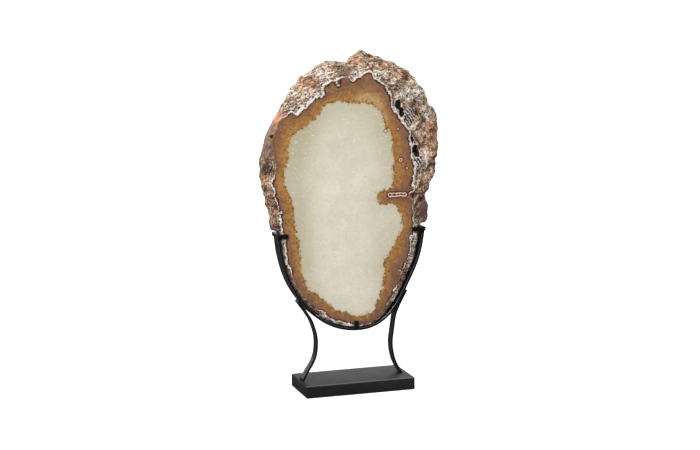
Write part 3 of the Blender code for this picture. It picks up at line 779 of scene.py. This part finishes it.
def agate_frill(at, core_edge, eye):
    """The frill's colour: ochre grains, then brown, then mauve agate, by the share of the way to the rim."""
    tree, where = at.tree, at.where
    from_eye = sum_of(tree, -0.0046, (eye, 1.0))
    to_rim = math_of(tree, "MAXIMUM", math_of(tree, "MINIMUM", at.rim, from_eye), 0.0)
    from_core = math_of(tree, "MAXIMUM", core_edge, 0.0)
    share = math_of(tree, "DIVIDE", from_core, sum_of(tree, 0.0001, (from_core, 1.0), (to_rim, 1.0)))
    share = sum_of(tree, uneven(tree, share, (at.medium, 0.80), (at.grain, 0.90)), (at.mauve, 0.22),
                   (span(tree, at.z, 0.215, 0.150), 0.16), (span(tree, at.x, -0.020, -0.085), -0.10))
    outer = span(tree, share, 0.35, 0.80)
    ochre = span(tree, share, 0.65, 0.20)
    color = ramp(tree, share,
                 (0.00, tone(176, 130, 66)), (0.22, tone(164, 115, 54)), (0.42, tone(150, 104, 56)),
                 (0.62, tone(141, 100, 66)), (0.80, tone(130, 93, 69)), (1.00, tone(114, 82, 66)))
    dark_grain = product_of(tree, span(tree, noise(tree, where, 0.0034, 2.0), 0.54, 0.64), ochre)
    color = laid_over(tree, color, dark_grain, 0.65, tone(98, 66, 32))
    bright_grain = product_of(tree, span(tree, noise(tree, where, 0.0040, 1.0), 0.44, 0.34), ochre)
    color = laid_over(tree, color, bright_grain, 0.45, tone(184, 142, 80))

    band_every = 0.0052
    depth = sum_of(tree, at.rim, (at.medium, 0.0050), (at.broad, 0.0060))
    bands = math_of(tree, "SINE", product_of(tree, depth, 2 * math.pi / band_every))
    bands = product_of(tree, span(tree, bands, -0.2, 0.9), crisp(tree, at.broad, 2.5),
                       span(tree, share, 0.15, 0.60))
    color = laid_over(tree, color, bands, 0.30, tone(184, 138, 102))
    dark_spots = crisp(tree, noise(tree, where, 0.0058, 3.0, 0.65), 3.0)
    strength = sum_of(tree, 0.34, (span(tree, share, 0.20, 0.70), 0.16))
    color = laid_over(tree, color, dark_spots, strength, tone(102, 69, 44))
    pale_spots = crisp(tree, noise(tree, where, 0.0047, 3.0, 0.65), 3.0)
    color = laid_over(tree, color, pale_spots, sum_of(tree, 0.36, (outer, -0.14)), tone(190, 146, 98))
    clouds = product_of(tree, crisp(tree, noise(tree, where, 0.0180, 3.0, 0.6), 4.0), outer)
    color = laid_over(tree, color, clouds, 0.45, tone(116, 82, 72))
    veil = product_of(tree, at.veil, crisp(tree, at.grain, 2.5))
    return laid_over(tree, color, veil, 0.75, tone(206, 180, 138))


def polished_face(at, core_edge, eye):
    """Core and frill together, with a pale halo, a broken brown line and dark specks along their border."""
    tree = at.tree
    in_frill = span(tree, core_edge, -0.0012, 0.0012)
    color = mix(tree, in_frill, milky_quartz(at), agate_frill(at, core_edge, eye))
    halo = product_of(tree, ring(tree, core_edge, -0.0012, 0.0040), crisp(tree, at.grain, 3.0))
    color = laid_over(tree, color, halo, 0.60, tone(196, 168, 130))
    broken = sum_of(tree, 0.15, (crisp(tree, at.medium, 3.0), 0.55))
    color = laid_over(tree, color, ring(tree, core_edge, 0.0013, 0.0015), broken, tone(120, 90, 44))
    specks = product_of(tree, ring(tree, core_edge, 0.0010, 0.0034),
                        span(tree, noise(tree, at.where, 0.0026, 2.0), 0.54, 0.62))
    return laid_over(tree, color, specks, 0.80, tone(88, 66, 32))


def healed_channels(at, face, eye):
    """Healed channels, one long and one round: pale round a dark middle, brown outside; and three flecks."""
    tree = at.tree
    eye = sum_of(tree, eye, (noise(tree, at.where, 0.0040), 0.005))
    face = laid_over(tree, face, ring(tree, eye, 0.0066, 0.0014), 0.85, tone(74, 38, 28))
    face = mix(tree, span(tree, eye, 0.0057, 0.0051), face, tone(232, 196, 176))
    face = mix(tree, span(tree, eye, 0.0040, 0.0034), face, tone(72, 38, 30))
    round_eye = from_mark(at, at.where, 0.0702, 0.3446)
    face = laid_over(tree, face, span(tree, round_eye, 0.0062, 0.0036), 0.8, tone(90, 54, 38))
    face = laid_over(tree, face, ring(tree, round_eye, 0.0021, 0.0015), 0.8, tone(222, 186, 156))
    face = mix(tree, span(tree, round_eye, 0.0012, 0.0008), face, tone(56, 32, 22))
    for x, z in ((0.0465, 0.3890), (0.0660, 0.3910), (0.0805, 0.3320)):
        fleck = from_mark(at, at.where, x, z, grainy=0.003)
        face = laid_over(tree, face, ring(tree, fleck, 0.0042, 0.0012), 0.6, tone(84, 54, 34))
        face = laid_over(tree, face, span(tree, fleck, 0.0036, 0.0026), 0.7, tone(210, 186, 156))
    return face


def rim_lines(at):
    """Where the rim is: a dark hairline inside a chalky white line, whose width is uneven round the slab."""
    tree = at.tree
    rim_edge = uneven(tree, at.rim, (at.medium, 0.0070), (at.grain, 0.0050))
    here = span(tree, sum_of(tree, at.rim_white, (at.grain, 1.3)), 0.85, 1.15)
    patchy = crisp(tree, noise(tree, at.where, 0.0090, 2.0), 2.5)
    width = product_of(tree, math_of(tree, "MAXIMUM", at.rim_white, 0.5), sum_of(tree, 0.65, (patchy, 0.95)))
    depth = math_of(tree, "DIVIDE", rim_edge, width)
    hairline = product_of(tree, ring(tree, sum_of(tree, rim_edge, (width, -0.0014)), 0.0008, 0.0016),
                          span(tree, sum_of(tree, at.rim_white, (at.medium, 0.8)), 0.6, 1.1))
    white_line = product_of(tree, span(tree, depth, 0.0014, 0.0007), span(tree, depth, -0.0015, -0.0008),
                            here)
    return hairline, white_line


def rind_earths(at, crust_and_relief_shade):
    """Rind colours, with painted shade and light by how far it stands out: tan earth, mauve clay, salmon
    jasper.
    """
    tree = at.tree
    earth = ramp(tree, crust_and_relief_shade, (0.03, tone(36, 23, 15)), (0.24, tone(80, 56, 38)), (0.46, tone(128, 95, 67)),
                 (0.66, tone(168, 132, 99)), (0.84, tone(210, 182, 152)), (1.00, tone(242, 228, 208)))
    clay = ramp(tree, crust_and_relief_shade, (0.05, tone(44, 26, 18)), (0.32, tone(80, 52, 38)), (0.62, tone(110, 76, 58)),
                (0.95, tone(156, 118, 94)))
    jasper = ramp(tree, crust_and_relief_shade, (0.00, tone(98, 52, 33)), (0.18, tone(150, 91, 62)),
                  (0.42, tone(190, 128, 93)), (0.70, tone(216, 160, 124)), (0.95, tone(242, 208, 182)))
    return laid_over(tree, laid_over(tree, earth, at.mauve, 0.90, clay), at.salmon, 0.92, jasper)


def worn_shoulder(at, rind):
    """The smooth places: silky mauve and salmon streaks that follow the surface, darker low on the slab."""
    tree = at.tree
    streaks = noise(tree, at.flow, 0.0085, 4.0, 0.65)
    silk = mix(tree, at.salmon, ramp(tree, streaks, (0.36, tone(88, 64, 55)), (0.64, tone(154, 122, 106))),
               ramp(tree, streaks, (0.36, tone(128, 82, 62)), (0.64, tone(204, 152, 120))))
    smooth = span(tree, sum_of(tree, at.smooth, (at.medium, 0.90)), 0.72, 1.12)
    rind = laid_over(tree, rind, smooth, 0.88, silk)
    low = product_of(tree, span(tree, at.z, 0.300, 0.272), smooth)
    return laid_over(tree, rind, low, 0.50, tone(84, 47, 36))


def rind_marks(at, rind):
    """Marks on the rind's front: dark ribs, a pale pebble, a red crease by the eye, and cavities in painted
    shade.
    """
    tree = at.tree
    rib_every = 0.0040
    across = sum_of(tree, product_of(tree, at.x, 0.81), (at.z, 0.58), (at.medium, 0.006))
    rib = span(tree, math_of(tree, "SINE", product_of(tree, across, 2 * math.pi / rib_every)), -0.3, 0.4)
    ribs = mix(tree, rib, tone(34, 26, 28), tone(226, 212, 202))
    rind = mix(tree, span(tree, at.ribs, 0.25, 0.60), rind, ribs)
    pebble = from_mark(at, at.where, 0.1110, 0.3620, grainy=0.0040)
    rind = laid_over(tree, rind, ring(tree, pebble, 0.0088, 0.0014), 0.6, tone(92, 54, 38))
    rind = laid_over(tree, rind, span(tree, pebble, 0.0082, 0.0070), 0.75, tone(206, 164, 136))
    rind = laid_over(tree, rind, ring(tree, pebble, 0.0046, 0.0012), 0.5, tone(240, 218, 198))
    red_crease = from_mark(at, at.wavering, 0.0985, 0.2925, half=0.0110, grainy=0.0030)
    rind = laid_over(tree, rind, span(tree, red_crease, 0.0046, 0.0032), 0.85, tone(138, 74, 46))
    rind = laid_over(tree, rind, span(tree, red_crease, 0.0028, 0.0020), 0.85, tone(62, 30, 20))
    # Painted shade: each cavity is filled near black, with a pale lip round it.
    hollow = sum_of(tree, at.cavity, (at.grain, 1.0), (at.medium, 0.8))
    lip = product_of(tree, ring(tree, hollow, 1.10, 0.14), span(tree, at.cavity, 0.02, 0.12),
                     span(tree, at.smooth, 0.3, 0.1))
    rind = mix(tree, lip, rind, tone(240, 226, 214))
    return mix(tree, span(tree, hollow, 1.20, 1.32), rind, tone(16, 10, 9))


def rough_rind(at):
    """The rind's colour and fine height: wrinkled earths with cracks, pits, pale threads and white veins."""
    tree = at.tree
    wrinkle = noise(tree, at.flow, 0.0054, 3.0, 0.62)
    cells = node(tree, "ShaderNodeTexVoronoi", {"Vector": warped(tree, at.where, 0.0090, 0.0060),
                                                "Scale": 1 / 0.0041}, feature="DISTANCE_TO_EDGE")
    cells = cells.outputs["Distance"]
    veins = span(tree, cells, 0.180, 0.080)
    pits = span(tree, sum_of(tree, cells, (at.medium, 0.60), (at.grain, 0.60)), 0.86, 0.96)
    patchy = crisp(tree, noise(tree, at.where, 0.0110, 3.0, 0.6), 3.5)
    # Painted shade and light: the relief share darkens the earths where the rind sinks and lightens them
    # where it stands out; the noises are its own colour.
    crust_and_relief_shade = uneven(tree, sum_of(tree, 0.485, (at.relief, 0.30)), (wrinkle, 2.30), (at.grain, 1.38),
                   (at.medium, 0.95), (patchy, 0.30), (at.broad, 0.70))
    rind = rind_earths(at, crust_and_relief_shade)
    bare = sum_of(tree, 1.0, (math_of(tree, "MAXIMUM", at.salmon, at.mauve), -1.0))
    crease = ring(tree, wrinkle, 0.455, 0.030)
    rind = laid_over(tree, rind, crease, 0.70, tone(54, 33, 20))
    cracks = math_of(tree, "MAXIMUM", ring(tree, at.medium, 0.485, 0.016), ring(tree, at.grain, 0.440, 0.022))
    rind = laid_over(tree, rind, cracks, sum_of(tree, 0.30, (bare, 0.45)), tone(58, 38, 25))
    rind = laid_over(tree, rind, pits, sum_of(tree, 0.20, (bare, 0.35)), tone(46, 30, 19))
    threads = math_of(tree, "MAXIMUM",
                      product_of(tree, ring(tree, wrinkle, 0.545, 0.026), crisp(tree, at.medium, 3.0)),
                      product_of(tree, ring(tree, at.grain, 0.560, 0.020), patchy))
    rind = laid_over(tree, rind, threads, sum_of(tree, 0.34, (bare, 0.42)), tone(242, 214, 184))
    stray_veins = product_of(tree, veins, sum_of(tree, 0.10, (patchy, 0.90)))
    rind = laid_over(tree, rind, stray_veins, sum_of(tree, 0.20, (bare, 0.50)), tone(244, 220, 194))
    chalk = product_of(tree, at.chalk, sum_of(tree, 0.12, (veins, 0.88)))
    rind = laid_over(tree, rind, chalk, sum_of(tree, 0.45, (patchy, 0.55)), tone(252, 245, 234))
    height = sum_of(tree, 0.0, (at.grain, 0.8), (at.medium, 0.6), (wrinkle, 1.4), (veins, 0.25),
                    (pits, -0.3), (crease, -0.25))
    return rind_marks(at, worn_shoulder(at, rind)), height


def agate_stone():
    """The stone: polished zones by distance from their edges, inside a dull rough rind of earthy colours."""
    material, tree, shader, where = start_material("agate_stone")
    at = stone_readings(tree, where)
    eye = from_mark(at, at.wavering, 0.0656, 0.2930, half=0.0124)
    core_noise = noise(tree, where, 0.0120)
    core_edge = uneven(tree, at.core, (at.medium, 0.013), (at.grain, 0.004), (core_noise, 0.008))
    hairline, white_line = rim_lines(at)
    face = healed_channels(at, polished_face(at, core_edge, eye), eye)
    face = laid_over(tree, face, hairline, 0.90, tone(58, 34, 24))
    rind, height = rough_rind(at)
    on_face = span(tree, at.rim, -0.0003, 0.0003)
    stone = mix(tree, white_line, mix(tree, on_face, rind, face), tone(250, 236, 226))
    tree.links.new(stone, shader.inputs["Base Color"])

    polish = product_of(tree, on_face, sum_of(tree, 1.0, (white_line, -1.0)))
    polished = ramp(tree, span(tree, core_edge, -0.001, 0.001), (0.0, 0.16), (1.0, 0.24))
    rough = ramp(tree, at.grain, (0.3, 0.78), (0.7, 0.92))
    tree.links.new(mix(tree, polish, rough, polished), shader.inputs["Roughness"])
    shader.inputs["Specular IOR Level"].default_value = 0.35
    strength = product_of(tree, span(tree, polish, 1.0, 0.0), sum_of(tree, 1.0, (at.smooth, -0.7)))
    bump = node(tree, "ShaderNodeBump", {"Height": height, "Strength": strength, "Distance": 0.0022})
    tree.links.new(bump.outputs["Normal"], shader.inputs["Normal"])
    return material


slab_grid, *slab_measures = slab_surface()
slab_ends = [(SLAB_CENTRE[0], side * SLAB_THICK / 2, SLAB_CENTRE[1]) for side in (-1, 1)]
slab = new_piece("agate_slab_stone", slab_grid, slab_ends, agate_stone(), "agate", "agate_slab")
for name, values in slab_marks(slab_grid, *slab_measures).items():
    kind, field = ("FLOAT_VECTOR", "vector") if values.ndim == 3 else ("FLOAT", "value")
    at_ends = [values[row].mean(axis=0).ravel() for row in (0, -1)]
    at_points = np.concatenate([values.ravel(), *at_ends])
    slab.data.attributes.new(name, kind, "POINT").data.foreach_set(field, at_points.astype(np.float32))

# Floor, light and camera
# A pale floor in a white studio that is dimmer on the camera's side, with a large soft light high in front
# on the left and a weaker one high behind on the right. The camera's place and lens were solved from the
# base block's corners.

bpy.ops.mesh.primitive_plane_add(size=30.0)
floor = bpy.context.active_object
floor.name = "floor"
floor_material, floor_tree, floor_shader, floor_where = start_material("floor_pale")
floor_white = ramp(floor_tree, noise(floor_tree, floor_where, 0.6), (0.3, 0.95), (0.7, 0.97))
floor_seen = node(floor_tree, "ShaderNodeLightPath").outputs["Is Camera Ray"]
floor_color = mix(floor_tree, floor_seen, (0.05, 0.05, 0.05), floor_white)
floor_glow = math_of(floor_tree, "MULTIPLY", floor_seen, 0.25)
floor_tree.links.new(floor_color, floor_shader.inputs["Base Color"])
floor_tree.links.new(floor_glow, floor_shader.inputs["Emission Strength"])
floor_shader.inputs["Emission Color"].default_value = (1.0, 1.0, 1.0, 1.0)
floor_shader.inputs["Roughness"].default_value = 0.9
floor_shader.inputs["Specular IOR Level"].default_value = 0.1
floor.data.materials.append(floor_material)

world = bpy.data.worlds.new("studio")
world.use_nodes = True
studio = world.node_tree
direction = node(studio, "ShaderNodeTexCoord").outputs["Generated"]
facing = node(studio, "ShaderNodeSeparateXYZ", {"Vector": direction})
walls = ramp(studio, span(studio, facing.outputs["Y"], -1.0, 0.6), (0.0, 0.16), (0.5, 0.60), (1.0, 1.15))
round_about = mix(studio, span(studio, facing.outputs["Z"], 0.25, 0.85), walls, (1.10, 1.10, 1.10))
seen = node(studio, "ShaderNodeLightPath").outputs["Is Camera Ray"]
backdrop = mix(studio, seen, round_about, (1.0, 1.0, 1.0))
studio.links.new(backdrop, studio.nodes["Background"].inputs["Color"])
bpy.context.scene.world = world


def soft_light(name, place, target, size, power):
    """A square soft light at a place, facing a target."""
    light = bpy.data.lights.new(name, "AREA")
    light.size = size
    light.energy = power
    lamp = bpy.data.objects.new(name, light)
    lamp.location = place
    lamp.rotation_euler = (Vector(target) - Vector(place)).to_track_quat("-Z", "Y").to_euler()
    bpy.context.scene.collection.objects.link(lamp)


soft_light("key_light", (-1.9, -2.2, 2.4), (0.0, 0.0, 0.25), size=1.2, power=154.0)
soft_light("back_fill", (1.9, 2.6, 2.6), (0.0, 0.0, 0.25), size=1.6, power=34.0)

camera_data = bpy.data.cameras.new("camera")
camera_data.lens = 83.2
camera = bpy.data.objects.new("camera", camera_data)
camera.location = (-0.75399, -2.24472, 0.64820)
view_line = Vector((-0.0046, 0.0, 0.2490)) - camera.location
camera.rotation_euler = view_line.to_track_quat("-Z", "Y").to_euler()
bpy.context.scene.collection.objects.link(camera)
bpy.context.scene.camera = camera
bpy.context.scene.view_settings.view_transform = "Standard"
